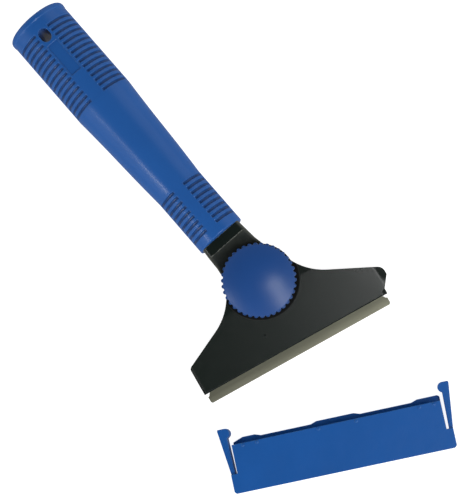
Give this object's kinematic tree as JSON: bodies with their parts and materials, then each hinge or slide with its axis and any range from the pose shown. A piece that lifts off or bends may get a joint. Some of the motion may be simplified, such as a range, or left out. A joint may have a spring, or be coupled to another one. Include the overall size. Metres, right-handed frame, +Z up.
{
  "type": "blade scraper",
  "caption": "Heavy-duty hand scraper: long ribbed handle, swivelling fishtail head that clamps a straight blade under a toothed knob, and a clip-on blade guard lying beside it.",
  "frame": {"origin": "on the axis of the hanging hole, at the height of the table the scraper lies on", "axes": "+Y along the handle towards its free end, +Z up and along the hanging hole, +X to the right when looking along +Y"},
  "size_m": [0.1251, 0.2917, 0.0322],
  "materials": {
    "handle_plastic": "satin",
    "knob_plastic": "satin",
    "guard_plastic": "satin",
    "head_plastic": "semi-gloss",
    "blade_steel": "ground",
    "bolt_steel": "zinc plated",
    "insert_brass": "turned"
  },
  "bodies": {
    "grip": {"handle": "handle_plastic", "neck": "head_plastic", "blade_guard": "guard_plastic"},
    "head": {"base_jaw": "head_plastic", "blade": "blade_steel", "clamp_bolt": "bolt_steel"},
    "clamp": {"clamp_plate": "head_plastic", "washer": "bolt_steel"},
    "knob": {"knob": "knob_plastic", "knob_insert": "insert_brass"}
  },
  "joints": [
    {"name": "head_swivel", "type": "hinge", "parent": "grip", "child": "head", "pos_m": [0, -0.157, 0.00783], "axis": [0, -0.1045, 0.9945], "range_deg": [-3, 27]},
    {"name": "clamp_lift", "type": "slide", "parent": "head", "child": "clamp", "axis": [0, -0.1045, 0.9945], "range_m": [0, 0.002]},
    {"name": "knob_turn", "type": "hinge", "parent": "clamp", "child": "knob", "pos_m": [0, -0.157, 0.00783], "axis": [0, -0.1045, 0.9945], "range_deg": [0, 720]}
  ],
  "couplings": [
    {"joint": "knob_turn", "follows": "clamp_lift", "rad_per_m": 6283.2}
  ]
}
